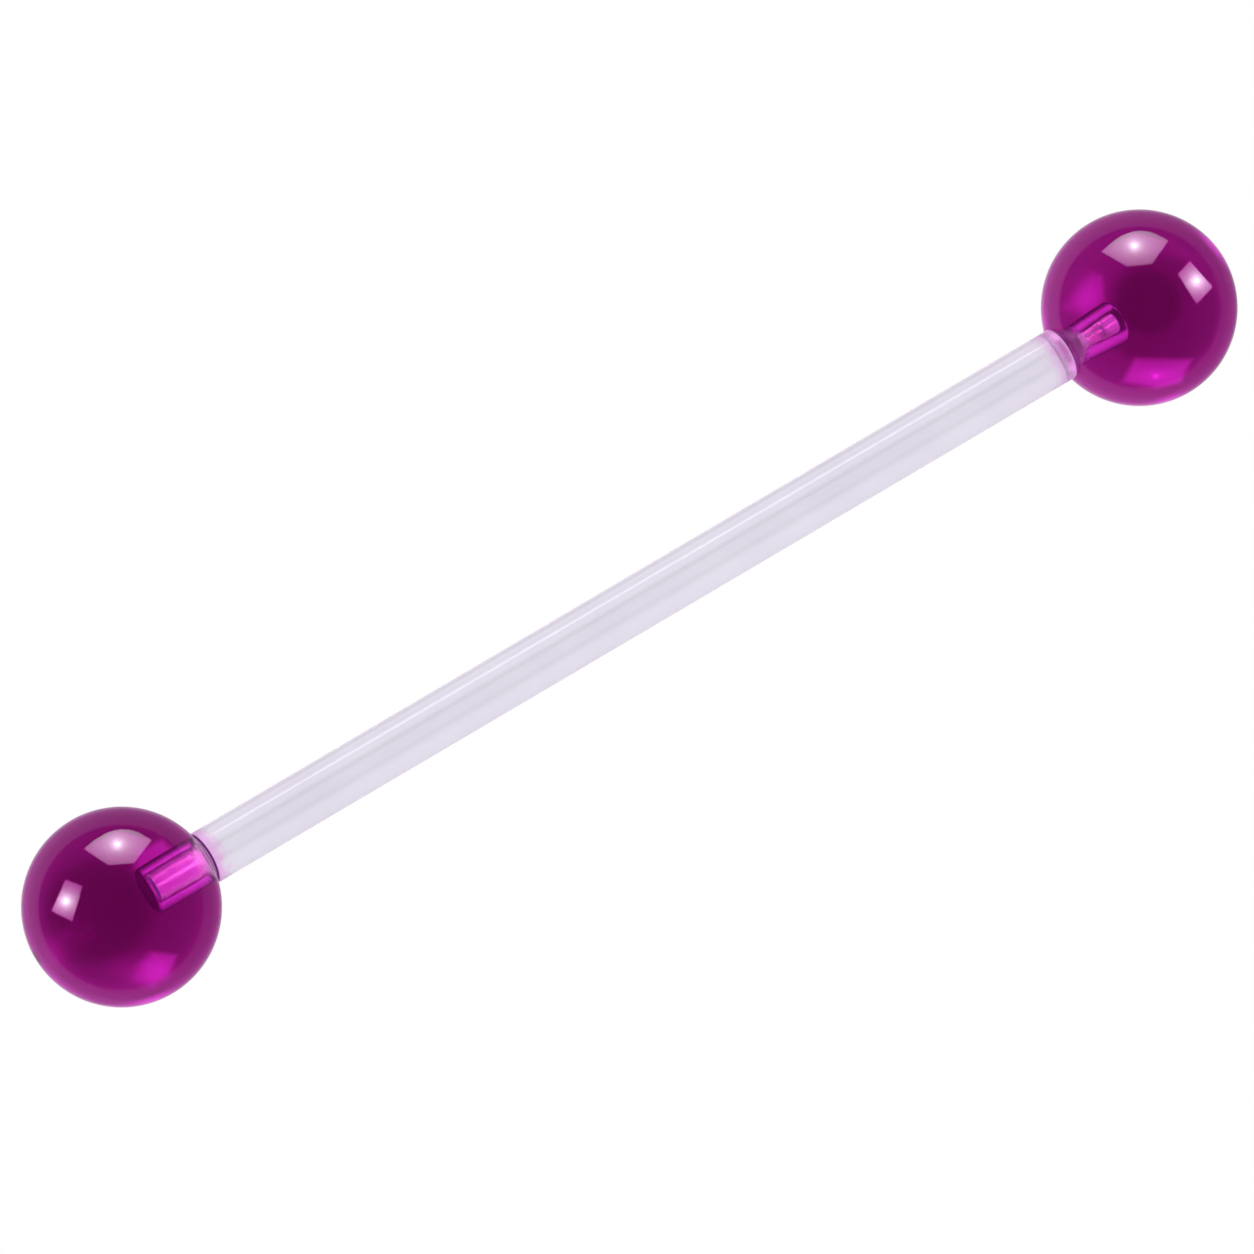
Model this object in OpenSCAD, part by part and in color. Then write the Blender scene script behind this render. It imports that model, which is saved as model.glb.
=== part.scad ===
// A long straight piercing retainer: one clear plastic bar with a see-through ball on each end.
// The bar lies along X and the part rests on its two balls, on the plane Z = 0.

/* [Bar] */
// Diameter of the shank, which runs through the piercing
shank_d = 1.68; // [1.6:0.02:2.4]
// Length of the shank between its two shoulders
shank_length = 32; // [20:1:45]
// Radius that breaks the edge of each shoulder
shoulder_edge_r = 0.05; // [0.02:0.01:0.1]
// Diameter of the thinner pin beyond each shoulder
pin_d = 0.82; // [0.6:0.02:0.9]
// Radius on the edge of each pin's end
pin_edge_r = 0.06; // [0.02:0.01:0.1]

/* [Balls] */
// Diameter of each ball
ball_d = 6; // [5:0.1:8]
// Room all round between a pin and its hole
pin_clearance = 0.08; // [0.03:0.01:0.1]
// Room between a pin's end and the floor of its hole
end_room = 0.1; // [0.1:0.05:0.4]
// Distance from a ball's centre to the floor of its hole
floor_from_centre = 0.6; // [0.2:0.1:1]
// Radius in the corner round the floor of a hole
floor_corner_r = 0.1; // [0.05:0.01:0.2]
// Diameter of a hole's mouth at the ball's surface
mouth_d = 1.32; // [1.2:0.02:1.5]
// Depth over which the mouth narrows to the hole
mouth_depth = 0.8; // [0.2:0.05:1.2]
// Room between a shoulder and the edge of the mouth that it sits against
seat_room = 0.02; // [0.01:0.01:0.05]

/* [Hidden] */
$fn = 96;
corner_steps = 4;
shank_r = shank_d / 2;
pin_r = pin_d / 2;
ball_r = ball_d / 2;
mouth_r = mouth_d / 2;
hole_r = pin_r + pin_clearance;
// The mouth's edge lies on the sphere, and the shoulder stops just short of it.
mouth_from_centre = sqrt(ball_r^2 - mouth_r^2);
shoulder_from_centre = mouth_from_centre + seat_room;
pin_length = shoulder_from_centre - floor_from_centre - end_room;
ball_x = shank_length / 2 + shoulder_from_centre;

// Points along an arc from one angle to another
function arc(centre, radius, from, to) =
    [for (i = [0:corner_steps])
        let (angle = from + (to - from) * i / corner_steps)
            centre + radius * [cos(angle), sin(angle)]];

// One end of the bar's outline, as [distance from the axis, distance along it], from the shoulder to the pin's end
bar_end = concat(
    arc([shank_r - shoulder_edge_r, shank_length / 2 - shoulder_edge_r], shoulder_edge_r, 0, 90),
    [[pin_r, shank_length / 2]],
    arc([pin_r - pin_edge_r, shank_length / 2 + pin_length - pin_edge_r], pin_edge_r, 0, 90),
    [[0, shank_length / 2 + pin_length]]
);
other_end = [for (i = [len(bar_end) - 1:-1:0]) [bar_end[i][0], -bar_end[i][1]]];

// The hole's outline from its floor out past the ball, measured from the ball's centre
throat_from_centre = mouth_from_centre - mouth_depth;
flare = [mouth_r - hole_r, mouth_depth];
hole_outline = concat(
    [[0, floor_from_centre]],
    arc([hole_r - floor_corner_r, floor_from_centre + floor_corner_r], floor_corner_r, -90, 0),
    [[hole_r, throat_from_centre], [hole_r, throat_from_centre] + 2 * flare],
    [[0, throat_from_centre + 2 * mouth_depth]]
);

// A ball whose blind hole opens towards +X when side is 1 and towards -X when it is -1
module drilled_ball(side)
    color("darkmagenta", 0.85)
        difference() {
            sphere(r = ball_r);
            rotate([0, side * 90, 0]) rotate_extrude() polygon(hole_outline);
        }

// Clear plastic bar, turned in one piece
module bar()
    color("lavender", 0.6)
        translate([0, 0, ball_r]) rotate([0, 90, 0])
            rotate_extrude() polygon(concat(other_end, bar_end));

// The ball on the near end, at the left in the main view
module ball_left() translate([-ball_x, 0, ball_r]) drilled_ball(1);

// The ball on the far end
module ball_right() translate([ball_x, 0, ball_r]) drilled_ball(-1);

bar();
ball_left();
ball_right();
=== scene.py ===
import math

import bpy
import numpy as np
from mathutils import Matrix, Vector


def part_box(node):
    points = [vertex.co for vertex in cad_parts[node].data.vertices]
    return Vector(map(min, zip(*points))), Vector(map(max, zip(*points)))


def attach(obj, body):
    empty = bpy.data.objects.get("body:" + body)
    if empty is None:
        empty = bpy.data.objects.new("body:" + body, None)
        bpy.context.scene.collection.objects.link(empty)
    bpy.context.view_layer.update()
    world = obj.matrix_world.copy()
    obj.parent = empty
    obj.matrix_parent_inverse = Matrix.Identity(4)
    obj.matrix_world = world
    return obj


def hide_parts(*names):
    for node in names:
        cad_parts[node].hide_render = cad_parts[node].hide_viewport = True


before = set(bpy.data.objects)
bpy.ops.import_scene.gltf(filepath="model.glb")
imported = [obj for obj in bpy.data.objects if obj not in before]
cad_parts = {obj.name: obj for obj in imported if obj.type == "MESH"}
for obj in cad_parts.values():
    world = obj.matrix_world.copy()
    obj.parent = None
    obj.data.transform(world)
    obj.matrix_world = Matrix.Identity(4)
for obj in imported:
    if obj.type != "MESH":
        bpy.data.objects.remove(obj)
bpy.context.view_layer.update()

# The bar
# One rod of clear, slightly flexible plastic, drawn lengthwise and then turned. The full-width shank
# shows between the two balls, and each end steps down at a square shoulder to a thinner pin that sits
# in a ball.
MM = 0.001
bar_low, bar_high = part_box("bar")
AXIS_Z = (bar_low.z + bar_high.z) / 2
TIP_X = bar_high.x
SHANK_R = (bar_high.z - bar_low.z) / 2
SHOULDER_X = 16 * MM
SHOULDER_EDGE_R = 0.05 * MM
SHOULDER_ROOT_R = 0.03 * MM
PIN_R = 0.41 * MM
PIN_EDGE_R = 0.06 * MM
SAME_POINT = 1e-6 * MM
ROUND_STEPS = 256
CORNER_STEPS = 7
SHANK_STEPS = 60
SHOULDER_STEPS = 12
PIN_STEPS = 40
TIP_STEPS = 8


def straight(start, end, steps):
    """Points along the straight line from start to end, crowded towards both ends: the share of the way
    is (1 - cos(pi u)) / 2 for u evenly spaced from 0 to 1."""
    share = (1 - np.cos(np.pi * np.linspace(0, 1, steps + 1))) / 2
    return np.outer(1 - share, start) + np.outer(share, end)


def arc(centre, radius, from_degrees, to_degrees, steps):
    """Points on a circle: centre + radius * (cos a, sin a), with the angle a evenly spaced."""
    angle = np.radians(np.linspace(from_degrees, to_degrees, steps + 1))
    return np.array(centre) + radius * np.column_stack([np.cos(angle), np.sin(angle)])


def joined(*runs):
    """The runs of points one after another, without the points that repeat where two runs meet."""
    points = np.concatenate(runs)
    step = np.linalg.norm(np.diff(points, axis=0), axis=1)
    return points[np.concatenate([[True], step > SAME_POINT])]


def turned(name, outline):
    """A closed solid of revolution about the bar's axis. outline is rows of (x, r), from one point on
    the axis to another. The point at row s and turn t is (x(s), r(s) sin t, AXIS_Z + r(s) cos t)."""
    x, r = outline[1:-1].T
    turn = np.linspace(0, 2 * np.pi, ROUND_STEPS, endpoint=False)
    rings = np.stack([
        np.repeat(x[:, None], ROUND_STEPS, axis=1),
        r[:, None] * np.sin(turn),
        AXIS_Z + r[:, None] * np.cos(turn),
    ], axis=-1)
    poles = [[outline[0, 0], 0, AXIS_Z], [outline[-1, 0], 0, AXIS_Z]]
    points = np.concatenate([rings.reshape(-1, 3), poles])
    row = np.arange(len(x) - 1)[:, None] * ROUND_STEPS
    here = np.arange(ROUND_STEPS)
    after = (here + 1) % ROUND_STEPS
    quads = np.stack([
        row + here, row + ROUND_STEPS + here, row + ROUND_STEPS + after, row + after,
    ], axis=-1).reshape(-1, 4)
    last = (len(x) - 1) * ROUND_STEPS
    first_pole = len(x) * ROUND_STEPS
    start_cap = np.stack([here * 0 + first_pole, here, after], axis=-1)
    end_cap = np.stack([here * 0 + first_pole + 1, last + after, last + here], axis=-1)
    mesh = bpy.data.meshes.new(name)
    mesh.from_pydata(points, [], quads.tolist() + start_cap.tolist() + end_cap.tolist())
    mesh.shade_smooth()
    piece = bpy.data.objects.new(name, mesh)
    bpy.context.scene.collection.objects.link(piece)
    return piece


def face_middles(piece):
    """The middle of every face of the piece, one row of x, y, z for each."""
    middles = np.empty(len(piece.data.polygons) * 3)
    piece.data.polygons.foreach_get("center", middles)
    return middles.reshape(-1, 3)


def bar_end_outline():
    """Half of the bar's outline, from the middle of the shank over the shoulder to the pin's tip."""
    edge = SHOULDER_EDGE_R
    root = SHOULDER_ROOT_R
    tip = PIN_EDGE_R
    return joined(
        straight((0, SHANK_R), (SHOULDER_X - edge, SHANK_R), SHANK_STEPS),
        arc((SHOULDER_X - edge, SHANK_R - edge), edge, 90, 0, CORNER_STEPS),
        straight((SHOULDER_X, SHANK_R - edge), (SHOULDER_X, PIN_R + root), SHOULDER_STEPS),
        arc((SHOULDER_X + root, PIN_R + root), root, 180, 270, CORNER_STEPS),
        straight((SHOULDER_X + root, PIN_R), (TIP_X - tip, PIN_R), PIN_STEPS),
        arc((TIP_X - tip, PIN_R - tip), tip, 90, 0, CORNER_STEPS),
        straight((TIP_X, PIN_R - tip), (TIP_X, 0), TIP_STEPS),
    )


def new_node(tree, kind, values, **settings):
    """A node of that kind with those settings. values gives each named or numbered input a number, a
    colour or another node's output."""
    node = tree.nodes.new("ShaderNode" + kind)
    for setting, value in settings.items():
        setattr(node, setting, value)
    for socket, value in values.items():
        if isinstance(value, bpy.types.NodeSocket):
            tree.links.new(value, node.inputs[socket])
        else:
            node.inputs[socket].default_value = value
    return node


def worked_out(tree, operation, *values):
    """A math node's result. Each of the values is a number or another node's output."""
    return new_node(tree, "Math", dict(enumerate(values)), operation=operation).outputs[0]


def ramp(tree, value, start, end, low, high):
    """low up to start, high from end on, and a smooth change between the two."""
    values = {"Value": value, "From Min": start, "From Max": end, "To Min": low, "To Max": high}
    return new_node(tree, "MapRange", values, interpolation_type="SMOOTHSTEP").outputs[0]


def mixed(tree, factor, first, second):
    """The first where factor is 0 and the second where it is 1. Each is a colour or a node's output."""
    return new_node(tree, "Mix", {"Factor": factor, 6: first, 7: second}, data_type="RGBA").outputs[2]


def new_group(name, inputs, outputs):
    """An empty node group with sockets of those names and kinds, its input node and its output node."""
    group = bpy.data.node_groups.new(name, "ShaderNodeTree")
    for in_out, sockets in (("INPUT", inputs), ("OUTPUT", outputs)):
        for socket, kind in sockets.items():
            group.interface.new_socket(socket, in_out=in_out, socket_type="NodeSocket" + kind)
    return group, group.nodes.new("NodeGroupInput"), group.nodes.new("NodeGroupOutput")


# Colour clouds and fine marks that all the plastic here has: the colour drifts from one to the other in
# soft patches, and marks drawn out by Stretch lift the roughness and the height.
CLOUD_EDGES = (0.35, 0.65)
MARK_EDGES = (0.3, 0.7)
uneven, uneven_in, uneven_out = new_group(
    "uneven plastic",
    {"Position": "Vector", "Colour": "Color", "Deeper Colour": "Color", "Cloud Scale": "Float",
     "Stretch": "Vector", "Least Roughness": "Float", "Most Roughness": "Float"},
    {"Color": "Color", "Roughness": "Float", "Height": "Float"},
)
given = uneven_in.outputs
clouds = new_node(uneven, "TexNoise", {
    "Vector": given["Position"], "Scale": given["Cloud Scale"], "Detail": 2,
})
cloud = ramp(uneven, clouds.outputs[0], *CLOUD_EDGES, 0, 1)
drifting = mixed(uneven, cloud, given["Colour"], given["Deeper Colour"])
stretching = {0: given["Position"], 1: given["Stretch"]}
stretched = new_node(uneven, "VectorMath", stretching, operation="MULTIPLY")
marks = new_node(uneven, "TexNoise", {"Vector": stretched.outputs[0], "Scale": 1, "Detail": 3})
roughened = new_node(uneven, "MapRange", {
    "Value": marks.outputs[0], "From Min": MARK_EDGES[0], "From Max": MARK_EDGES[1],
    "To Min": given["Least Roughness"], "To Max": given["Most Roughness"],
})
uneven.links.new(drifting, uneven_out.inputs["Color"])
uneven.links.new(roughened.outputs[0], uneven_out.inputs["Roughness"])
uneven.links.new(marks.outputs[0], uneven_out.inputs["Height"])

# Where a point lies: how far out along the bar, and how far from the centre of the nearer ball.
where, where_in, where_out = new_group(
    "place on the retainer",
    {"Position": "Vector", "Axis Height": "Float", "Ball Place": "Float"},
    {"Along": "Float", "From Ball Centre": "Float"},
)
parts = new_node(where, "SeparateXYZ", {0: where_in.outputs["Position"]}).outputs
along = worked_out(where, "ABSOLUTE", parts["X"])
above = worked_out(where, "SUBTRACT", parts["Z"], where_in.outputs["Axis Height"])
above_squared = worked_out(where, "MULTIPLY", above, above)
off_squared = worked_out(where, "MULTIPLY_ADD", parts["Y"], parts["Y"], above_squared)
past = worked_out(where, "SUBTRACT", along, where_in.outputs["Ball Place"])
from_squared = worked_out(where, "MULTIPLY_ADD", past, past, off_squared)
where.links.new(along, where_out.inputs["Along"])
where.links.new(worked_out(where, "SQRT", from_squared), where_out.inputs["From Ball Centre"])


def place_on_retainer(tree, ball_place=0.0):
    """The node that says where a point lies. A ball's material also gives the place of its ball."""
    position = tree.nodes["Texture Coordinate"].outputs["Object"]
    values = {"Position": position, "Axis Height": AXIS_Z, "Ball Place": ball_place}
    return new_node(tree, "Group", values, node_tree=where)


def see_through(name, ior, dye, density, surface):
    """A see-through material: of the light that crosses a depth of it, exp(-(1 - dye) * density *
    depth) is left. surface holds the values of its uneven plastic. Returns the material, its tree, its
    shader and the node of the uneven plastic."""
    material = bpy.data.materials.new(name)
    material.use_nodes = True
    tree = material.node_tree
    shader = tree.nodes["Principled BSDF"]
    shader.inputs["IOR"].default_value = ior
    taken_up = new_node(tree, "VolumeAbsorption", {"Color": dye, "Density": density})
    tree.links.new(taken_up.outputs["Volume"], tree.nodes["Material Output"].inputs["Volume"])
    position = new_node(tree, "TexCoord", {}).outputs["Object"]
    plastic = new_node(tree, "Group", {"Position": position, **surface}, node_tree=uneven)
    return material, tree, shader, plastic


half_bar = bar_end_outline()
bar = turned("bar_plastic", joined(half_bar[::-1] * (-1, 1), half_bar))
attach(bar, "bar")
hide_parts("bar")

PLASTIC_IOR = 1.49
TINT = (0.6, 0.45, 0.95, 1)
TINT_DENSITY = 30
BAR_CLOUD_SCALE = 450
DRAW_LINES = (150, 8000, 8000)
DRAW_LINE_HEIGHT = 0.0012 * MM
BLACK = (0, 0, 0, 1)


def rod_plastic(name, colour, duller, least, most):
    """The bar's plastic, with draw lines along the bar in its roughness and its height. least and most
    are its roughness."""
    material, tree, shader, plastic = see_through(name, PLASTIC_IOR, TINT, TINT_DENSITY, {
        "Colour": colour, "Deeper Colour": duller, "Cloud Scale": BAR_CLOUD_SCALE, "Stretch": DRAW_LINES,
        "Least Roughness": least, "Most Roughness": most,
    })
    bump = new_node(tree, "Bump", {"Distance": DRAW_LINE_HEIGHT, "Height": plastic.outputs["Height"]})
    tree.links.new(bump.outputs["Normal"], shader.inputs["Normal"])
    return material, tree, shader, plastic


# The shank is clear. Near its ends the balls' purple is painted into its colour in blotches, a painted
# reflection of the balls, and a small painted glow stands for the light that the bar pipes there. It is
# duller where it was cut.
CLEAR_PLASTIC = (0.93, 0.895, 0.985, 1)
DULLER_PLASTIC = (0.905, 0.865, 0.965, 1)
PAINTED_BALL_PURPLE = (0.78, 0.36, 0.76, 1)
PAINTED_END_GLOW = (1, 0.34, 0.9, 1)
BLOTCH_SCALE = 3500
BLOTCH_REACH = 0.8 * MM
PURPLE_FROM = SHOULDER_X - 0.2 * MM
PURPLE_TO = SHOULDER_X + 0.35 * MM
CUT_FROM = SHOULDER_X - 1.0 * MM
CUT_TO = SHOULDER_X - 0.1 * MM
CUT_ROUGHNESS = 0.38
bar_material, bar_tree, bar_shader, bar_plastic = rod_plastic(
    "clear bar plastic", CLEAR_PLASTIC, DULLER_PLASTIC, least=0.035, most=0.065,
)
bar_along = place_on_retainer(bar_tree).outputs["Along"]
blotches = new_node(bar_tree, "TexNoise", {
    "Vector": bar_tree.nodes["Texture Coordinate"].outputs["Object"], "Scale": BLOTCH_SCALE, "Detail": 2,
})
# Where the painted reflection of the balls' purple and the painted glow come in, near each end.
pushed = worked_out(bar_tree, "MULTIPLY_ADD", blotches.outputs[0], BLOTCH_REACH, bar_along)
painted_end = ramp(bar_tree, pushed, PURPLE_FROM, PURPLE_TO, 0, 1)
painted_end_colour = mixed(bar_tree, painted_end, bar_plastic.outputs["Color"], PAINTED_BALL_PURPLE)
cut_end = ramp(bar_tree, bar_along, CUT_FROM, CUT_TO, 0, CUT_ROUGHNESS)
bar_roughness = worked_out(bar_tree, "MAXIMUM", cut_end, bar_plastic.outputs["Roughness"])
bar_tree.links.new(painted_end_colour, bar_shader.inputs["Base Color"])
bar_tree.links.new(mixed(bar_tree, painted_end, BLACK, PAINTED_END_GLOW), bar_shader.inputs["Emission Color"])
bar_tree.links.new(bar_roughness, bar_shader.inputs["Roughness"])
bar_shader.inputs["Transmission Weight"].default_value = 0.82
bar_shader.inputs["Emission Strength"].default_value = 0.12

# Each pin's wall has a painted glow in the purple of its ball, which stands for light that the clear bar
# pipes to its ends: outwards beyond the mouth, and inwards near the shoulder, where it is seen through the
# bar.
PIN_PLASTIC = (0.9, 0.75, 0.88, 1)
DULLER_PIN = (0.86, 0.68, 0.84, 1)
PAINTED_PIN_GLOW = (1, 0.35, 0.85, 1)
MOUTH_SHADE_FROM = SHOULDER_X + 0.4 * MM
INWARD_GLOW_FROM = SHOULDER_X + 0.5 * MM
FULL_GLOW_FROM = SHOULDER_X + 1.0 * MM
GLOW_IN_MOUTH = 0.3
INWARD_GLOW = 0.8
pin_material, pin_tree, pin_shader, pin_plastic = rod_plastic(
    "clear pin plastic", PIN_PLASTIC, DULLER_PIN, least=0.03, most=0.06,
)
pin_along = place_on_retainer(pin_tree).outputs["Along"]
inner_side = new_node(pin_tree, "NewGeometry", {}).outputs["Backfacing"]
outer_side = worked_out(pin_tree, "SUBTRACT", 1.0, inner_side)
outward = ramp(pin_tree, pin_along, MOUTH_SHADE_FROM, FULL_GLOW_FROM, GLOW_IN_MOUTH, 1)
inward = ramp(pin_tree, pin_along, INWARD_GLOW_FROM, FULL_GLOW_FROM, INWARD_GLOW, 0)
inner_glow = worked_out(pin_tree, "MULTIPLY", inward, inner_side)
painted_glow_share = worked_out(pin_tree, "MULTIPLY_ADD", outward, outer_side, inner_glow)
pin_tree.links.new(pin_plastic.outputs["Color"], pin_shader.inputs["Base Color"])
pin_tree.links.new(pin_plastic.outputs["Roughness"], pin_shader.inputs["Roughness"])
pin_tree.links.new(mixed(pin_tree, painted_glow_share, BLACK, PAINTED_PIN_GLOW), pin_shader.inputs["Emission Color"])
pin_shader.inputs["Transmission Weight"].default_value = 0.94
pin_shader.inputs["Emission Strength"].default_value = 0.3

# The rounded edge of each shoulder has a painted reflection: the dark purple of the ball beside it is
# painted into its colour.
PAINTED_EDGE_PURPLE = (0.40, 0.02, 0.25, 1)
DULLER_PAINTED_EDGE_PURPLE = (0.46, 0.08, 0.32, 1)
painted_edge_material, painted_edge_tree, painted_edge_shader, painted_edge_plastic = rod_plastic(
    "edge plastic with painted reflection", PAINTED_EDGE_PURPLE, DULLER_PAINTED_EDGE_PURPLE, least=0.3, most=0.4,
)
painted_edge_tree.links.new(painted_edge_plastic.outputs["Color"], painted_edge_shader.inputs["Base Color"])
painted_edge_tree.links.new(painted_edge_plastic.outputs["Roughness"], painted_edge_shader.inputs["Roughness"])
painted_edge_shader.inputs["Transmission Weight"].default_value = 0.4
painted_edge_shader.inputs["Specular IOR Level"].default_value = 0.2

bar.data.materials.append(bar_material)
bar.data.materials.append(pin_material)
bar.data.materials.append(painted_edge_material)
bar_faces = face_middles(bar)
out_along = np.abs(bar_faces[:, 0])
off_bar_axis = np.hypot(bar_faces[:, 1], bar_faces[:, 2] - AXIS_Z)
on_pin_wall = (out_along > SHOULDER_X + SHOULDER_ROOT_R) & (out_along < TIP_X - PIN_EDGE_R)
# The faces of the shoulder's rounded edge, which get the painted reflection of the ball's purple.
on_painted_edge = (out_along > SHOULDER_X - SHOULDER_EDGE_R) & (off_bar_axis > SHANK_R - SHOULDER_EDGE_R)
bar.data.polygons.foreach_set("material_index", (on_pin_wall + 2 * on_painted_edge).astype(np.int32))

# The two balls
# Each is a polished ball of see-through purple acrylic with one blind hole for the bar's pin. The hole
# flares to a wider mouth at the surface, and the bar's shoulder sits against the edge of that mouth.
left_low, left_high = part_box("ball_left")
BALL_R = (left_high.z - left_low.z) / 2
MOUTH_R = 0.66 * MM
MOUTH_DEPTH = 0.8 * MM
MOUTH_EDGE_R = 0.04 * MM
THROAT_R = 0.15 * MM
HOLE_R = 0.49 * MM
FLOOR_FROM_CENTRE = 0.6 * MM
FLOOR_CORNER_R = 0.1 * MM
SEAT_ROOM = 0.02 * MM
MOUTH_FROM_CENTRE = math.sqrt(BALL_R**2 - MOUTH_R**2)
BALL_X = SHOULDER_X + MOUTH_FROM_CENTRE + SEAT_ROOM
BALL_STEPS = 170
RIM_STEPS = 10
FLARE_STEPS = 10
HOLE_STEPS = 50
FLOOR_STEPS = 12


def rounded(before, corner, after, radius, steps):
    """A corner between two straight runs, rounded: an arc of that radius that touches both lines. Its
    ends lie radius * tan(half the turn) from the corner, and its centre is square to the first line
    from its end."""
    corner = np.array(corner)
    into = (corner - before) / np.linalg.norm(corner - before)
    out = (after - corner) / np.linalg.norm(after - corner)
    bend = math.atan2(into[0] * out[1] - into[1] * out[0], into @ out)
    side = np.array([-into[1], into[0]]) * math.copysign(1, bend)
    start = corner - into * radius * math.tan(abs(bend) / 2)
    centre = start + side * radius
    from_degrees = math.degrees(math.atan2(*(start - centre)[::-1]))
    return arc(centre, radius, from_degrees, from_degrees + math.degrees(bend), steps)


def ball_outline():
    """A drilled ball's outline about its own centre, its hole towards +x: over the sphere from its far
    pole to the mouth, round the mouth's edge, down the flare and the hole, and in over the floor to the
    axis."""
    mouth_angle = math.degrees(math.asin(MOUTH_R / BALL_R))
    shell = arc((0, 0), BALL_R, 180, mouth_angle, BALL_STEPS)
    mouth = np.array((MOUTH_FROM_CENTRE, MOUTH_R))
    throat = np.array((MOUTH_FROM_CENTRE - MOUTH_DEPTH, HOLE_R))
    floor_corner = np.array((FLOOR_FROM_CENTRE, HOLE_R))
    floor_centre = np.array((FLOOR_FROM_CENTRE, 0))
    rim = rounded(shell[-2], mouth, throat, MOUTH_EDGE_R, RIM_STEPS)
    neck = rounded(mouth, throat, floor_corner, THROAT_R, RIM_STEPS)
    corner = rounded(throat, floor_corner, floor_centre, FLOOR_CORNER_R, FLOOR_STEPS)
    short_of_rim = shell[:, 0] < rim[0, 0]
    return joined(
        shell[short_of_rim],
        rim,
        straight(rim[-1], neck[0], FLARE_STEPS),
        neck,
        straight(neck[-1], corner[0], HOLE_STEPS),
        corner,
        straight(corner[-1], floor_centre, FLOOR_STEPS),
    )


ACRYLIC_IOR = 1.49
DYE = (0.728, 0.19, 0.659, 1)
DYE_DENSITY = 1300
SPECKLES = (1500, 1500, 1500)


def acrylic(name, colour, deeper, cloud_scale, least, most):
    """The dyed acrylic: its purple comes from the depth of plastic that the light crosses. least and
    most are its roughness."""
    material, tree, shader, plastic = see_through(name, ACRYLIC_IOR, DYE, DYE_DENSITY, {
        "Colour": colour, "Deeper Colour": deeper, "Cloud Scale": cloud_scale, "Stretch": SPECKLES,
        "Least Roughness": least, "Most Roughness": most,
    })
    tree.links.new(plastic.outputs["Color"], shader.inputs["Base Color"])
    return material, tree, shader, plastic


# The shell is polished, and the drilled wall of the hole is duller the nearer it is to the mouth.
CLEAR_ACRYLIC = (1, 1, 1, 1)
DEEPER_ACRYLIC = (0.985, 0.96, 0.985, 1)
DRILLED_EDGES = (1.7 * MM, 2.2 * MM)
DRILLED_ROUGHNESS = (0.05, 0.5)
SHELL_EDGES = (BALL_R - 0.015 * MM, BALL_R - 0.005 * MM)
ball_material, ball_tree, ball_shader, ball_plastic = acrylic(
    "purple acrylic", CLEAR_ACRYLIC, DEEPER_ACRYLIC, cloud_scale=300, least=0.0, most=0.012,
)
from_centre = place_on_retainer(ball_tree, BALL_X).outputs["From Ball Centre"]
drilled = ramp(ball_tree, from_centre, *DRILLED_EDGES, *DRILLED_ROUGHNESS)
under_shell = ramp(ball_tree, from_centre, *SHELL_EDGES, 1, 0)
dull = worked_out(ball_tree, "MULTIPLY", drilled, under_shell)
ball_roughness = worked_out(ball_tree, "MAXIMUM", dull, ball_plastic.outputs["Roughness"])
ball_tree.links.new(ball_roughness, ball_shader.inputs["Roughness"])
ball_shader.inputs["Transmission Weight"].default_value = 1

# The flare of the mouth was cut and left matt. Its purple is both its colour and a small painted glow,
# which stands for the purple light of the ball that such a wall scatters.
FLARE_PURPLE_AND_PAINTED_GLOW = (0.72, 0.22, 0.66, 1)
DEEPER_FLARE_PURPLE_AND_PAINTED_GLOW = (0.42, 0.06, 0.36, 1)
MATT_INSET = 0.005 * MM
matt_acrylic, matt_tree, matt_shader, matt_plastic = acrylic(
    "matt acrylic", FLARE_PURPLE_AND_PAINTED_GLOW, DEEPER_FLARE_PURPLE_AND_PAINTED_GLOW, cloud_scale=2000, least=0.45, most=0.55,
)
# The same purple is painted on the flare as a glow.
matt_tree.links.new(matt_plastic.outputs["Color"], matt_shader.inputs["Emission Color"])
matt_tree.links.new(matt_plastic.outputs["Roughness"], matt_shader.inputs["Roughness"])
matt_shader.inputs["Emission Strength"].default_value = 0.12
matt_shader.inputs["Transmission Weight"].default_value = 0.7

balls = {}
for side, body, node in ((-1, "left_ball", "ball_left"), (1, "right_ball", "ball_right")):
    outline = ball_outline() * (-side, 1) + (side * BALL_X, 0)
    ball = turned(node + "_acrylic", outline[::-side])
    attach(ball, body)
    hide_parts(node)
    ball.data.materials.append(ball_material)
    ball.data.materials.append(matt_acrylic)
    middles = face_middles(ball) - (side * BALL_X, 0, AXIS_Z)
    off_axis = np.linalg.norm(middles[:, 1:], axis=1)
    past_throat = -side * middles[:, 0] > MOUTH_FROM_CENTRE - MOUTH_DEPTH
    in_mouth = (off_axis < MOUTH_R - MATT_INSET) & past_throat
    ball.data.polygons.foreach_set("material_index", in_mouth.astype(np.int32))
    balls[node] = ball

# The camera
# It stands above and to the left of the bar's near side, well back and with a long lens, so that the
# near ball looks only a little larger than the far one. Its angle and aim were fitted to the balls and
# the seats.
CAMERA_AZIMUTH = math.radians(-35.888)
CAMERA_ELEVATION = math.radians(54.524)
CAMERA_DISTANCE = 600 * MM
CAMERA_AIM = np.array((-0.5451 * MM, -0.2981 * MM, AXIS_Z - 0.3998 * MM))
LENS_MM = 571.03
NEAREST_SEEN = 10 * MM
FARTHEST_SEEN = 20000 * MM
TOWARDS_CAMERA = np.array((
    math.sin(CAMERA_AZIMUTH) * math.cos(CAMERA_ELEVATION),
    -math.cos(CAMERA_AZIMUTH) * math.cos(CAMERA_ELEVATION),
    math.sin(CAMERA_ELEVATION),
))
RIGHT = np.array((math.cos(CAMERA_AZIMUTH), math.sin(CAMERA_AZIMUTH), 0))
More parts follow.
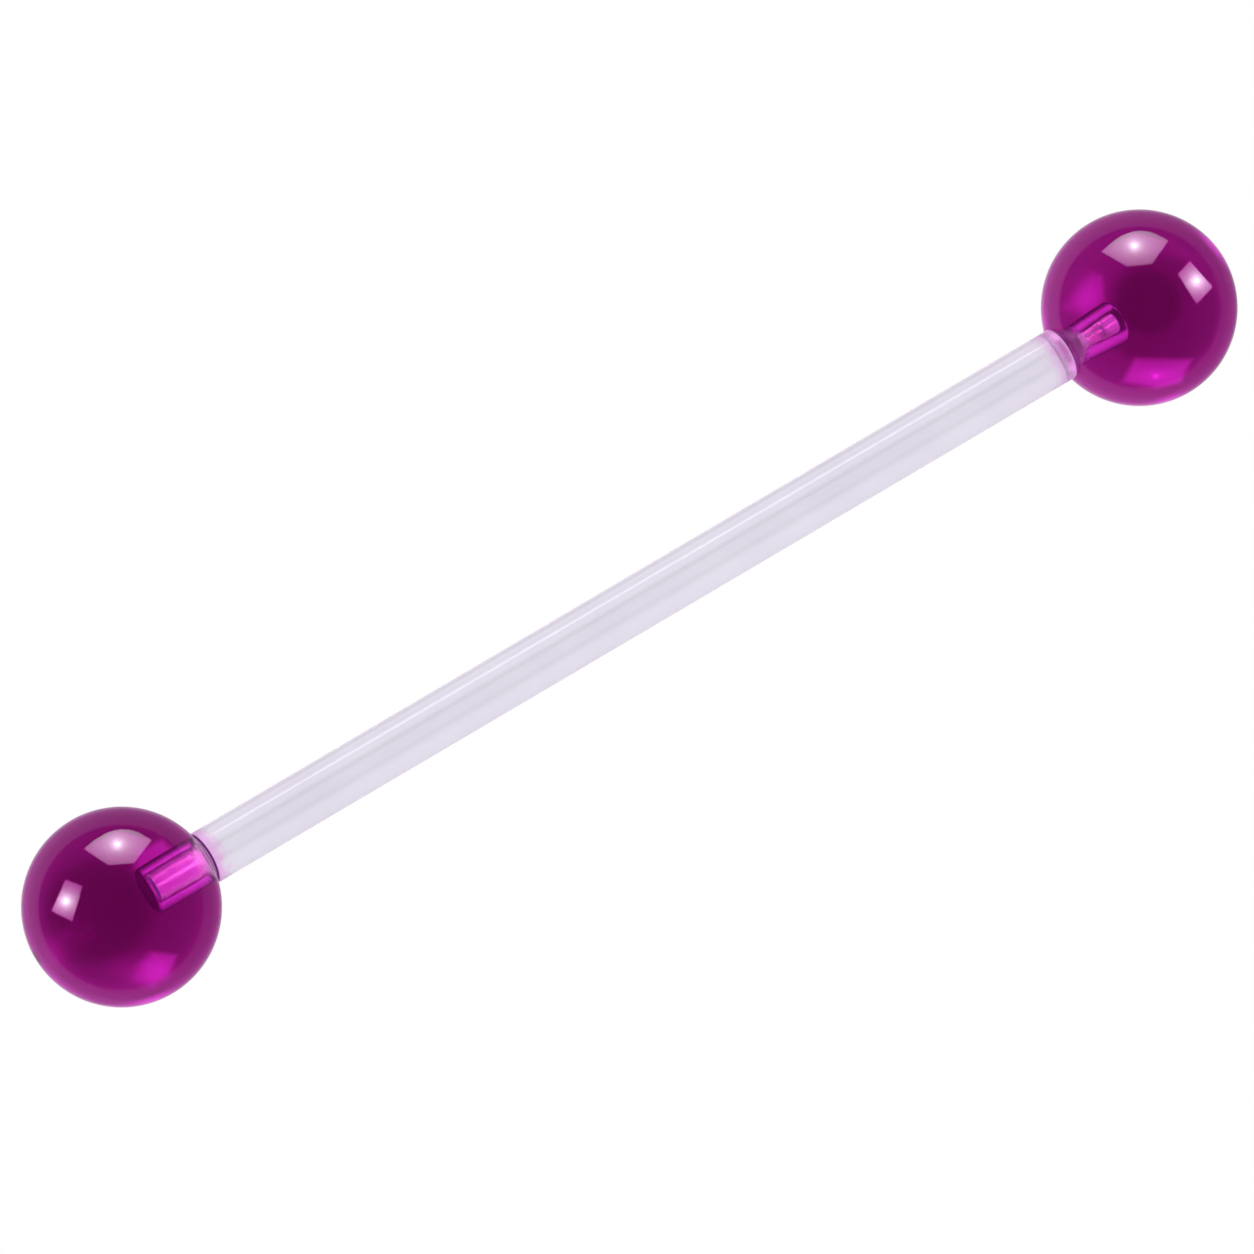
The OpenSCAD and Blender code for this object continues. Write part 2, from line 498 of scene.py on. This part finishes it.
UP = np.cross(TOWARDS_CAMERA, RIGHT)
camera_data = bpy.data.cameras.new("camera")
camera_data.lens = LENS_MM
camera_data.clip_start = NEAREST_SEEN
camera_data.clip_end = FARTHEST_SEEN
camera = bpy.data.objects.new("camera", camera_data)
camera.location = CAMERA_AIM + TOWARDS_CAMERA * CAMERA_DISTANCE
camera.rotation_euler = (math.pi / 2 - CAMERA_ELEVATION, 0, CAMERA_AZIMUTH)
bpy.context.scene.collection.objects.link(camera)
bpy.context.scene.camera = camera

# The floor
# A white light table, evenly lit from below, so that it shows no shadow. The balls see the cloth tents
# and not the table.
FLOOR_SIZE = 3000 * MM
FLOOR_CORNERS = np.array([(-1, -1, 0), (1, -1, 0), (1, 1, 0), (-1, 1, 0)])
floor_mesh = bpy.data.meshes.new("floor")
floor_mesh.from_pydata(FLOOR_CORNERS * FLOOR_SIZE / 2, [], [(0, 1, 2, 3)])
floor = bpy.data.objects.new("floor", floor_mesh)
bpy.context.scene.collection.objects.link(floor)
floor.visible_glossy = False
floor.visible_transmission = False
floor.visible_diffuse = False
floor_material = bpy.data.materials.new("white floor")
floor_material.use_nodes = True
floor_tree = floor_material.node_tree
floor_tree.nodes.clear()
floor_glow = new_node(floor_tree, "Emission", {"Strength": 1.0})
new_node(floor_tree, "OutputMaterial", {"Surface": floor_glow.outputs[0]})
floor.data.materials.append(floor_material)

# The softboxes
# One large box stands over both balls and a narrow one stands at the outer side of each. They are
# sheets of lit cloth whose light falls off from a hot point, and each is shaped by the outline that its
# ball mirrors.
SOFTBOX_STEPS = 65
TOP_BOX_DISTANCE = 1500 * MM
SIDE_BOX_DISTANCE = 600 * MM
BOX_COLOUR = np.array((1, 1, 1.07))


def view_of(centre):
    """The camera's right, up and towards directions as seen from a ball's centre or another point."""
    away = CAMERA_AIM + TOWARDS_CAMERA * CAMERA_DISTANCE - centre
    back = away / np.linalg.norm(away)
    right = RIGHT - (RIGHT @ back) * back
    right /= np.linalg.norm(right)
    return right, np.cross(back, right), back


def mirrored(view, offset):
    """The directions in which a ball mirrors the camera's rays: 2 (n . b) n - b, where b points back to
    the camera and n is the ball's normal at the offset, which counts in the ball's radii across the
    picture."""
    right, up, back = view
    across = offset[..., 0:1]
    upwards = offset[..., 1:2]
    face = np.sqrt(1 - across**2 - upwards**2)
    normal = across * right + upwards * up + face * back
    return 2 * face * normal - back


# The cloth gives one light straight through the ball, another to rays that turned inside it, and a
# third to rays that also crossed the hole and the pin. Each is a map over the cloth.
TURNED_DEPTH = 2.5
HOLE_DEPTH = 3.5
glow_material = bpy.data.materials.new("lit cloth")
glow_material.use_nodes = True
glow_material.cycles.emission_sampling = "NONE"
glow_tree = glow_material.node_tree
glow_tree.nodes.clear()
glow_path = new_node(glow_tree, "LightPath", {}).outputs


def cloth_map(name):
    """The colour that the cloth keeps under that name."""
    return new_node(glow_tree, "Attribute", {}, attribute_name=name).outputs["Color"]


has_turned = worked_out(glow_tree, "GREATER_THAN", glow_path["Ray Depth"], TURNED_DEPTH)
crossed_hole = worked_out(glow_tree, "GREATER_THAN", glow_path["Transmission Depth"], HOLE_DEPTH)
outer_light = mixed(glow_tree, has_turned, cloth_map("light"), cloth_map("turned light"))
cloth_light = mixed(glow_tree, crossed_hole, outer_light, cloth_map("pin light"))
lit_and_clear = new_node(glow_tree, "AddShader", {
    0: new_node(glow_tree, "Emission", {"Color": cloth_light}).outputs[0],
    1: new_node(glow_tree, "BsdfTransparent", {}).outputs[0],
})
new_node(glow_tree, "OutputMaterial", {"Surface": lit_and_clear.outputs[0]})


def cloth(name, points, maps, receivers, closed=False):
    """A sheet of cloth that lights only the receivers. points is a grid of rows x columns x 3, and maps
    holds the grid's colours under the name of each light. A closed sheet joins its last column to its
    first."""
    rows, columns = points.shape[:2]
    row = np.arange(rows - 1)[:, None] * columns
    here = np.arange(columns if closed else columns - 1)
    after = (here + 1) % columns
    quads = np.stack([
        row + here, row + after, row + columns + after, row + columns + here,
    ], axis=-1).reshape(-1, 4)
    mesh = bpy.data.meshes.new(name)
    mesh.from_pydata(points.reshape(-1, 3), [], quads.tolist())
    for light, colours in maps.items():
        opaque = np.ones((rows * columns, 1))
        values = np.concatenate([np.maximum(colours, 0).reshape(-1, 3), opaque], axis=1)
        mesh.attributes.new(light, "FLOAT_COLOR", "POINT").data.foreach_set("color", values.ravel())
    mesh.materials.append(glow_material)
    sheet = bpy.data.objects.new(name, mesh)
    bpy.context.scene.collection.objects.link(sheet)
    sheet.visible_camera = False
    sheet.visible_diffuse = False
    sheet.visible_shadow = False
    lit = bpy.data.collections.new(name + " lights")
    for piece in receivers:
        lit.objects.link(piece)
    sheet.light_linking.receiver_collection = lit
    return sheet


def quad_grid(corners, bow, steps):
    """A grid between four corners (far left, far right, near right, near left): far (1 - t) + near t,
    where both edges run straight with s and the far one is pushed out by bow * 4 s (1 - s)."""
    s = np.linspace(0, 1, steps)[None, :, None]
    t = np.linspace(0, 1, steps)[:, None, None]
    far = corners[0] * (1 - s) + corners[1] * s + bow * 4 * s * (1 - s)
    near = corners[3] * (1 - s) + corners[2] * s
    return far * (1 - t) + near * t


def softbox(name, centre, distance, receivers, corners, hot, peak, wide, bow=(0, 0), shape=(1, 1)):
    """A box as its ball mirrors it, at that distance from the centre. Its light is the sum over peak
    and wide of strength * exp(-d / reach), where d is the distance from the hot point in the ball's
    radii, and its two parts count by shape in the wide light."""
    offset = quad_grid(np.array(corners), np.array(bow), SOFTBOX_STEPS)
    points = centre + distance * mirrored(view_of(centre), offset)
    apart = np.linalg.norm(offset - hot, axis=-1)
    shaped = np.linalg.norm((offset - hot) * shape, axis=-1)
    light = peak[0] * np.exp(-apart / peak[1]) + wide[0] * np.exp(-shaped / wide[1])
    return cloth(name, points, {"light": light[..., None] * BOX_COLOUR}, receivers)


centres = {"ball_left": np.array((-BALL_X, 0, AXIS_Z)), "ball_right": np.array((BALL_X, 0, AXIS_Z))}
TOP_BOX = [(-0.377, 0.572), (0.295, 0.669), (0.125, 0.438), (-0.126, 0.415)]
TOP_BOX_HOT = (-0.045, 0.625)
LEFT_BOX = [(-0.553, 0.273), (-0.387, 0.205), (-0.487, -0.140), (-0.694, -0.041)]
LEFT_BOX_HOT = (-0.550, 0.059)
RIGHT_BOX = [(0.513, 0.472), (0.742, 0.211), (0.584, 0.037), (0.389, 0.341)]
RIGHT_BOX_HOT = (0.576, 0.270)
softbox(
    "top softbox", CAMERA_AIM, TOP_BOX_DISTANCE, list(balls.values()), TOP_BOX, TOP_BOX_HOT,
    peak=(28, 0.028), wide=(10, 0.17), bow=(0.005, 0.15), shape=(0.72, 1.25),
)
softbox(
    "left softbox", centres["ball_left"], SIDE_BOX_DISTANCE, [balls["ball_left"]],
    LEFT_BOX, LEFT_BOX_HOT, peak=(22, 0.032), wide=(16, 0.075),
)
softbox(
    "right softbox", centres["ball_right"], SIDE_BOX_DISTANCE, [balls["ball_right"]],
    RIGHT_BOX, RIGHT_BOX_HOT, peak=(20, 0.032), wide=(15, 0.09),
)

# The cloth round each ball
# A tent of lit cloth that is seen only through the ball. Its light lies in patches: a pale ring behind
# the ball's rim, the windows low down and at the seat, and a glow behind each softbox.
ROOM_LIGHT = 0.48
LEAST_LIGHT = 0.98
TENT_R = 1200 * MM
TENT_COLUMNS = 320
TENT_RHO = (0.002, 0.9)
TENT_ROWS = 120
TENT_RIM_RHO = (0.905, 1)
TENT_RIM_ROWS = 20
TENT_FRONT_DEGREES = (97, 179.9)
TENT_FRONT_ROWS = 30
TENT_FRONT_LIGHT = 3.0
SMALLEST_RHO = 1e-6
BLUER_WITH_LIGHT = 0.11
BLUER_FROM = 0.4
BLUER_UP_TO = 3
RING_ROWS = [(0.26, 0.3, 0.7, 0.86), (0.9, 0.35, 0.9, 1.0)]
RIM_GLOW_EDGES = (0.92, 0.99)
INNER_COLOUR = np.array((1, 1, 1.3))


def soft_step(low, high, value):
    """0 before low, 1 past high and 3t^2 - 2t^3 between them, where t is the share of the way."""
    t = np.clip((value - low) / (high - low), 0, 1)
    return t * t * (3 - 2 * t)


def through(view, offset):
    """The directions in which the camera's rays leave a solid ball after crossing it: turned from
    straight on by 2 (asin(rho) - asin(rho / ior)) towards the axis, where rho is the length of the
    offset."""
    right, up, back = view
    rho = np.clip(np.linalg.norm(offset, axis=-1, keepdims=True), SMALLEST_RHO, 1)
    bend = 2 * (np.arcsin(rho) - np.arcsin(rho / ACRYLIC_IOR))
    return -np.cos(bend) * back - np.sin(bend) * (offset[..., 0:1] * right + offset[..., 1:2] * up) / rho


def inside(offset, corners, soft):
    """1 well inside the convex polygon (corners counter-clockwise) and 0 outside, by the soft step of
    the least depth behind any edge, counted in how far each edge fades."""
    corners = np.array(corners)
    side = np.roll(corners, -1, axis=0) - corners
    side /= np.linalg.norm(side, axis=-1, keepdims=True)
    apart = offset[..., None, :] - corners
    depth = (side[:, 0] * apart[..., 1] - side[:, 1] * apart[..., 0]) / np.array(soft)
    return soft_step(-1, 1, depth.min(axis=-1))


def spot(offset, centre, size):
    """A round glow exp(-d^2), where d is the distance from the centre over the size."""
    return np.exp(-(np.linalg.norm((offset - np.array(centre)) / np.array(size), axis=-1))**2)


def ring(offset, brightest):
    """The pale ring just inside the ball's outline: for each row a soft step outwards from start to
    end, as strong as strength + more times the way towards the brightest side."""
    rho = np.linalg.norm(offset, axis=-1)
    towards = offset @ np.array((math.cos(math.radians(brightest)), math.sin(math.radians(brightest))))
    light = np.zeros(rho.shape)
    for strength, more, start, end in RING_ROWS:
        light += (strength + more * towards) * soft_step(start, end, rho)
    return light


def lamps(angle, rows):
    """Light that depends on an angle in degrees: the sum over the rows of peak * exp(-(gap / width)^2),
    where gap is the angle's distance from the row's place."""
    light = np.zeros(angle.shape)
    for peak, place, width in rows:
        gap = (angle - place + 180) % 360 - 180
        light += peak * np.exp(-(gap / width)**2)
    return light


def ball_light(offset, look):
    """The light seen straight through a ball at each offset: the least light, the ring, the soft steps
    round their centres, the glows along the rim, the spots and the windows, each times its strength."""
    level = LEAST_LIGHT + ring(offset, look["brightest side"])
    for strength, centre, stretch, start, end in look["steps"]:
        level += strength * soft_step(start, end, np.linalg.norm((offset - centre) / stretch, axis=-1))
    angle = np.degrees(np.arctan2(offset[..., 1], offset[..., 0]))
    level += lamps(angle, look["rim glows"]) * soft_step(*RIM_GLOW_EDGES, np.linalg.norm(offset, axis=-1))
    for strength, centre, size in look["spots"]:
        level += strength * spot(offset, centre, size)
    for strength, corners, soft in look["windows"]:
        level += strength * inside(offset, corners, soft)
    return level


# Offsets count in the ball's radii across the picture, and the brightest side is an angle in degrees.
# Steps are rows of strength, centre, stretch, start and end; rim glows of peak, place and width in
# degrees; spots of strength, centre and size; windows of strength, corners and how far each edge fades.
BOX_GLOW = [TOP_BOX[3], TOP_BOX[2], TOP_BOX[1], (-0.04, 0.76), TOP_BOX[0]]
LEFT_LOW_WINDOW = [
    (0.29, -0.441), (0.18, -0.566), (0.13, -0.72), (0.30, -0.785), (0.457, -0.677), (0.546, -0.477),
]
LEFT_SEAT_WINDOW = [(0.12, 0.38), (0.30, 0.33), (0.62, 0.45), (0.40, 0.66), (0.18, 0.56)]
LEFT_LOOK = {
    "brightest side": 250,
    "steps": [(0.36, (-0.26, -0.05), (1.1, 1), 0.38, 0.6)],
    "rim glows": [(4.5, -72, 12), (1.0, -128, 14), (0.4, 30, 35)],
    "spots": [
        (0.5, (-0.66, -0.42), (0.1, 0.16)),
        (1.0, (0.36, -0.61), (0.14, 0.12)),
        (0.7, (0.12, -0.64), (0.25, 0.14)),
    ],
    "windows": [
        (1.55, LEFT_LOW_WINDOW, (0.06, 0.1, 0.08, 0.05, 0.03, 0.03)),
        (1.8, LEFT_SEAT_WINDOW, 0.05),
        (1.3, BOX_GLOW, 0.02),
        (1.9, LEFT_BOX[::-1], 0.02),
    ],
}
RIGHT_LOW_WINDOW = [(-0.04, -0.511), (-0.164, -0.745), (0.18, -0.814), (0.415, -0.759), (0.525, -0.525)]
RIGHT_SEAT_WINDOW = [(-0.481, 0.344), (-0.757, -0.001), (-0.564, -0.056), (-0.357, 0.082), (-0.371, 0.33)]
RIGHT_LOOK = {
    "brightest side": 235,
    "steps": [
        (0.28, (0.1, 0.06), (1, 1), 0.27, 0.36),
        (0.45, (0.22, -0.05), (1, 1), 0.5, 0.64),
        (-0.2, (0, 0), (1, 1), 0.7, 0.8),
    ],
    "rim glows": [(3.5, -72, 9), (4, 40, 11), (1.5, 192, 16)],
    "spots": [
        (1.1, (0.18, -0.68), (0.16, 0.07)),
        (3, (0.167, -0.69), 0.025),
        (1.4, (-0.5, 0.09), (0.16, 0.2)),
    ],
    "windows": [
        (1.8, RIGHT_LOW_WINDOW, (0.04, 0.05, 0.03, 0.04, 0.04)),
        (1.0, RIGHT_SEAT_WINDOW, (0.08, 0.08, 0.08, 0.03, 0.06)),
        (0.9, BOX_GLOW, 0.02),
        (1.7, RIGHT_BOX[::-1], 0.02),
    ],
}

# The light for turned rays and for rays through the pin lies in strips along the bar. Each lamp is a
# peak, a place in degrees round the bar's axis and a width.
TURNED_LEAST = 0.2
TURNED_LAMPS = [(2.8, -145, 50), (3, 24, 27)]
PIN_LEAST = 0.3
PIN_LAMPS = [(2.8, -62, 22)]
PIN_LAMP_EDGES = (0.1, 0.0)
STREAK_LAMPS = [(300, 66, 8), (300, 121, 5)]
LEFT_STREAKS = (1, 6, 1.3)
RIGHT_STREAKS = (1, 2.2, 1.1)


def tent(name, ball, look, streak_colour):
    """A closed tent round one ball. Its rows run from straight behind the ball to its rim, and on
    towards the camera, so that each row and column is one offset in the picture."""
    centre = centres[ball]
    view = view_of(centre)
    right, up, back = view
    rho = np.concatenate([np.linspace(*TENT_RHO, TENT_ROWS), np.linspace(*TENT_RIM_RHO, TENT_RIM_ROWS)])
    psi = np.linspace(0, 2 * np.pi, TENT_COLUMNS, endpoint=False)
    outward = np.stack([np.cos(psi), np.sin(psi)], axis=-1)
    offset = rho[:, None, None] * outward
    bend = np.radians(np.linspace(*TENT_FRONT_DEGREES, TENT_FRONT_ROWS))[:, None, None]
    front = -np.cos(bend) * back - np.sin(bend) * (outward[:, 0:1] * right + outward[:, 1:2] * up)
    direction = np.concatenate([through(view, offset), front])
    front_level = np.full(front.shape[:2], TENT_FRONT_LIGHT)
    level = np.concatenate([ball_light(offset, look) - ROOM_LIGHT, front_level])
    seen = level[..., None] * np.ones(3)
    seen[..., 2] *= 1 + BLUER_WITH_LIGHT * np.minimum(level - BLUER_FROM, BLUER_UP_TO)
    around = np.degrees(np.arctan2(direction[..., 2], direction[..., 1]))
    turned_level = TURNED_LEAST + lamps(around, TURNED_LAMPS)
    leftwards = soft_step(*PIN_LAMP_EDGES, direction[..., 0])
    pin_level = PIN_LEAST + lamps(around, PIN_LAMPS) * leftwards
    streaks = lamps(around, STREAK_LAMPS)
    maps = {
        "light": seen,
        "turned light": turned_level[..., None] * INNER_COLOUR,
        "pin light": pin_level[..., None] * INNER_COLOUR + streaks[..., None] * np.array(streak_colour),
    }
    sheet = cloth(name, centre + TENT_R * direction, maps, [balls[ball]], closed=True)
    sheet.visible_glossy = False


tent("left tent", "ball_left", LEFT_LOOK, LEFT_STREAKS)
tent("right tent", "ball_right", RIGHT_LOOK, RIGHT_STREAKS)

# The cloth round the bar
# A long tent whose darker strips are seen through the bar as its lengthwise lines, and one narrow
# bright strip above it that the bar mirrors. The camera's rays cross the bar aslant, which bends them a
# little more than the plastic's own index would.
BAR_BEND_IOR = 1.541
ASIDE = np.array((0, 0.868, 0.495))
AHEAD = np.array((0, 0.495, -0.868))
CLOTH_LENGTH = 4000 * MM
CLOTH_COLUMNS = 5
OPEN_CLOTH = 0.99
DARK_STRIPS = [
    (-0.28, 0.13, 0.15), (0.0, 0.16, 0.07), (0.22, 0.1, 0.19), (0.7, 0.04, 0.05), (0.89, 0.045, 0.25),
]
BAR_TENT_R = 300 * MM
BAR_TENT_ROWS = 201
BAR_TENT_END_ROWS = 20
BEFORE_DEGREES = (-180, -101)
AFTER_DEGREES = (101, 179)
STRIP_R = 250 * MM
STRIP_DEGREES = 71
STRIP_HALF_WIDTH = 6
STRIP_ROWS = 9
STRIP_LIGHT = 3
STRIP_FALL = 1.2


def along_bar(name, radius, towards, maps):
    """A sheet of cloth along the bar: one row for each direction, at that radius from the X axis."""
    points = np.zeros((len(towards), CLOTH_COLUMNS, 3)) + towards[:, None, :] * radius
    points[..., 0] += np.linspace(-0.5, 0.5, CLOTH_COLUMNS) * CLOTH_LENGTH
    colours = {}
    for light, level in maps.items():
        colours[light] = np.repeat(level[:, None, None], CLOTH_COLUMNS, axis=1) * np.ones(3)
    return cloth(name, points, colours, [bar])


def bar_tent():
    """Light round the bar by h, the distance off the axis at which the camera's ray enters it, in its
    radii: OPEN_CLOTH less depth * exp(-((h - place) / width)^2) for each strip of place, width and
    depth. The ray leaves turned by 2 (asin(h) - asin(h / ior))."""
    h = np.linspace(-1, 1, BAR_TENT_ROWS)
    level = np.full(h.shape, OPEN_CLOTH)
    for place, width, depth in DARK_STRIPS:
        level -= depth * np.exp(-((h - place) / width)**2)
    before = np.radians(np.linspace(*BEFORE_DEGREES, BAR_TENT_END_ROWS))
    after = np.radians(np.linspace(*AFTER_DEGREES, BAR_TENT_END_ROWS))
    bend = np.concatenate([before, 2 * (np.arcsin(h) - np.arcsin(h / BAR_BEND_IOR)), after])
    edge = np.full(BAR_TENT_END_ROWS, OPEN_CLOTH)
    level = np.concatenate([edge, level, edge]) - ROOM_LIGHT
    towards = np.cos(bend)[:, None] * AHEAD - np.sin(bend)[:, None] * ASIDE
    along_bar("bar tent", BAR_TENT_R, towards, {"light": level, "turned light": level, "pin light": level})


def bar_strip():
    """A strip along the bar that is brightest in its middle: its light is STRIP_LIGHT * cos(STRIP_FALL
    * u) for u from -1 to 1 over its width."""
    u = np.linspace(-1, 1, STRIP_ROWS)
    angle = np.radians(STRIP_HALF_WIDTH * u + STRIP_DEGREES)
    towards = np.cos(angle)[:, None] * -AHEAD + np.sin(angle)[:, None] * ASIDE
    strip = along_bar("bar strip", STRIP_R, towards, {"light": STRIP_LIGHT * np.cos(STRIP_FALL * u)})
    strip.visible_transmission = False


bar_tent()
bar_strip()

# The room
# Pale all round. What the pieces mirror of it is nearly black in front and a pinkish grey behind them,
# so that their rims turn pale, and the camera sees it white.
BEHIND_EDGES = (-0.37, -0.31)
BEHIND_GREY = 0.25
FRONT_GREY = 0.003
STRAIGHT_BEHIND_EDGES = (-1, -0.85)
STRAIGHT_BEHIND_GREY = 0.35
BRIGHTER_SIDE = -0.55 * RIGHT + 0.08 * UP
MIRRORED_TINT = (1.15, 0.8, 1.12, 1)
WHITE = (1, 1, 1, 1)
OPEN_LIGHT = 0.8
MORE_FOR_CAMERA = 0.2
world = bpy.data.worlds.new("room")
bpy.context.scene.world = world
world.use_nodes = True
room = world.node_tree
room.nodes.clear()
room_path = new_node(room, "LightPath", {}).outputs
room_direction = new_node(room, "TexCoord", {}).outputs["Generated"]


def facing(direction):
    """The cosine between the room's direction and the given one."""
    values = {0: room_direction, 1: direction}
    return new_node(room, "VectorMath", values, operation="DOT_PRODUCT").outputs["Value"]


def room_light(strength, colour):
    """The room in one light. strength is a number or a node's output."""
    return new_node(room, "Background", {"Color": colour, "Strength": strength}).outputs[0]


def either_light(factor, first, second):
    """The first light where factor is 0 and the second where it is 1."""
    return new_node(room, "MixShader", {0: factor, 1: first, 2: second}).outputs[0]


towards_camera = facing(TOWARDS_CAMERA)
behind = ramp(room, towards_camera, *BEHIND_EDGES, BEHIND_GREY, FRONT_GREY)
straight_behind = ramp(room, towards_camera, *STRAIGHT_BEHIND_EDGES, STRAIGHT_BEHIND_GREY, 0)
grey = worked_out(room, "ADD", behind, straight_behind)
leaning = worked_out(room, "MULTIPLY_ADD", facing(BRIGHTER_SIDE), grey, grey)
mirrored_room = room_light(leaning, MIRRORED_TINT)
crossed_room = room_light(ROOM_LIGHT, WHITE)
open_strength = worked_out(room, "MULTIPLY_ADD", room_path["Is Camera Ray"], MORE_FOR_CAMERA, OPEN_LIGHT)
open_room = room_light(open_strength, WHITE)
through_piece = either_light(room_path["Is Transmission Ray"], mirrored_room, crossed_room)
direct = worked_out(room, "MAXIMUM", room_path["Is Camera Ray"], room_path["Is Diffuse Ray"])
new_node(room, "OutputWorld", {"Surface": either_light(direct, through_piece, open_room)})

# Light crosses the shell, the hole and the pin several times on its way, so its paths may be long.
scene = bpy.context.scene
scene.view_settings.view_transform = "Standard"
scene.cycles.max_bounces = 32
scene.cycles.diffuse_bounces = 16
scene.cycles.transmission_bounces = 32
scene.cycles.glossy_bounces = 16
scene.cycles.transparent_max_bounces = 32
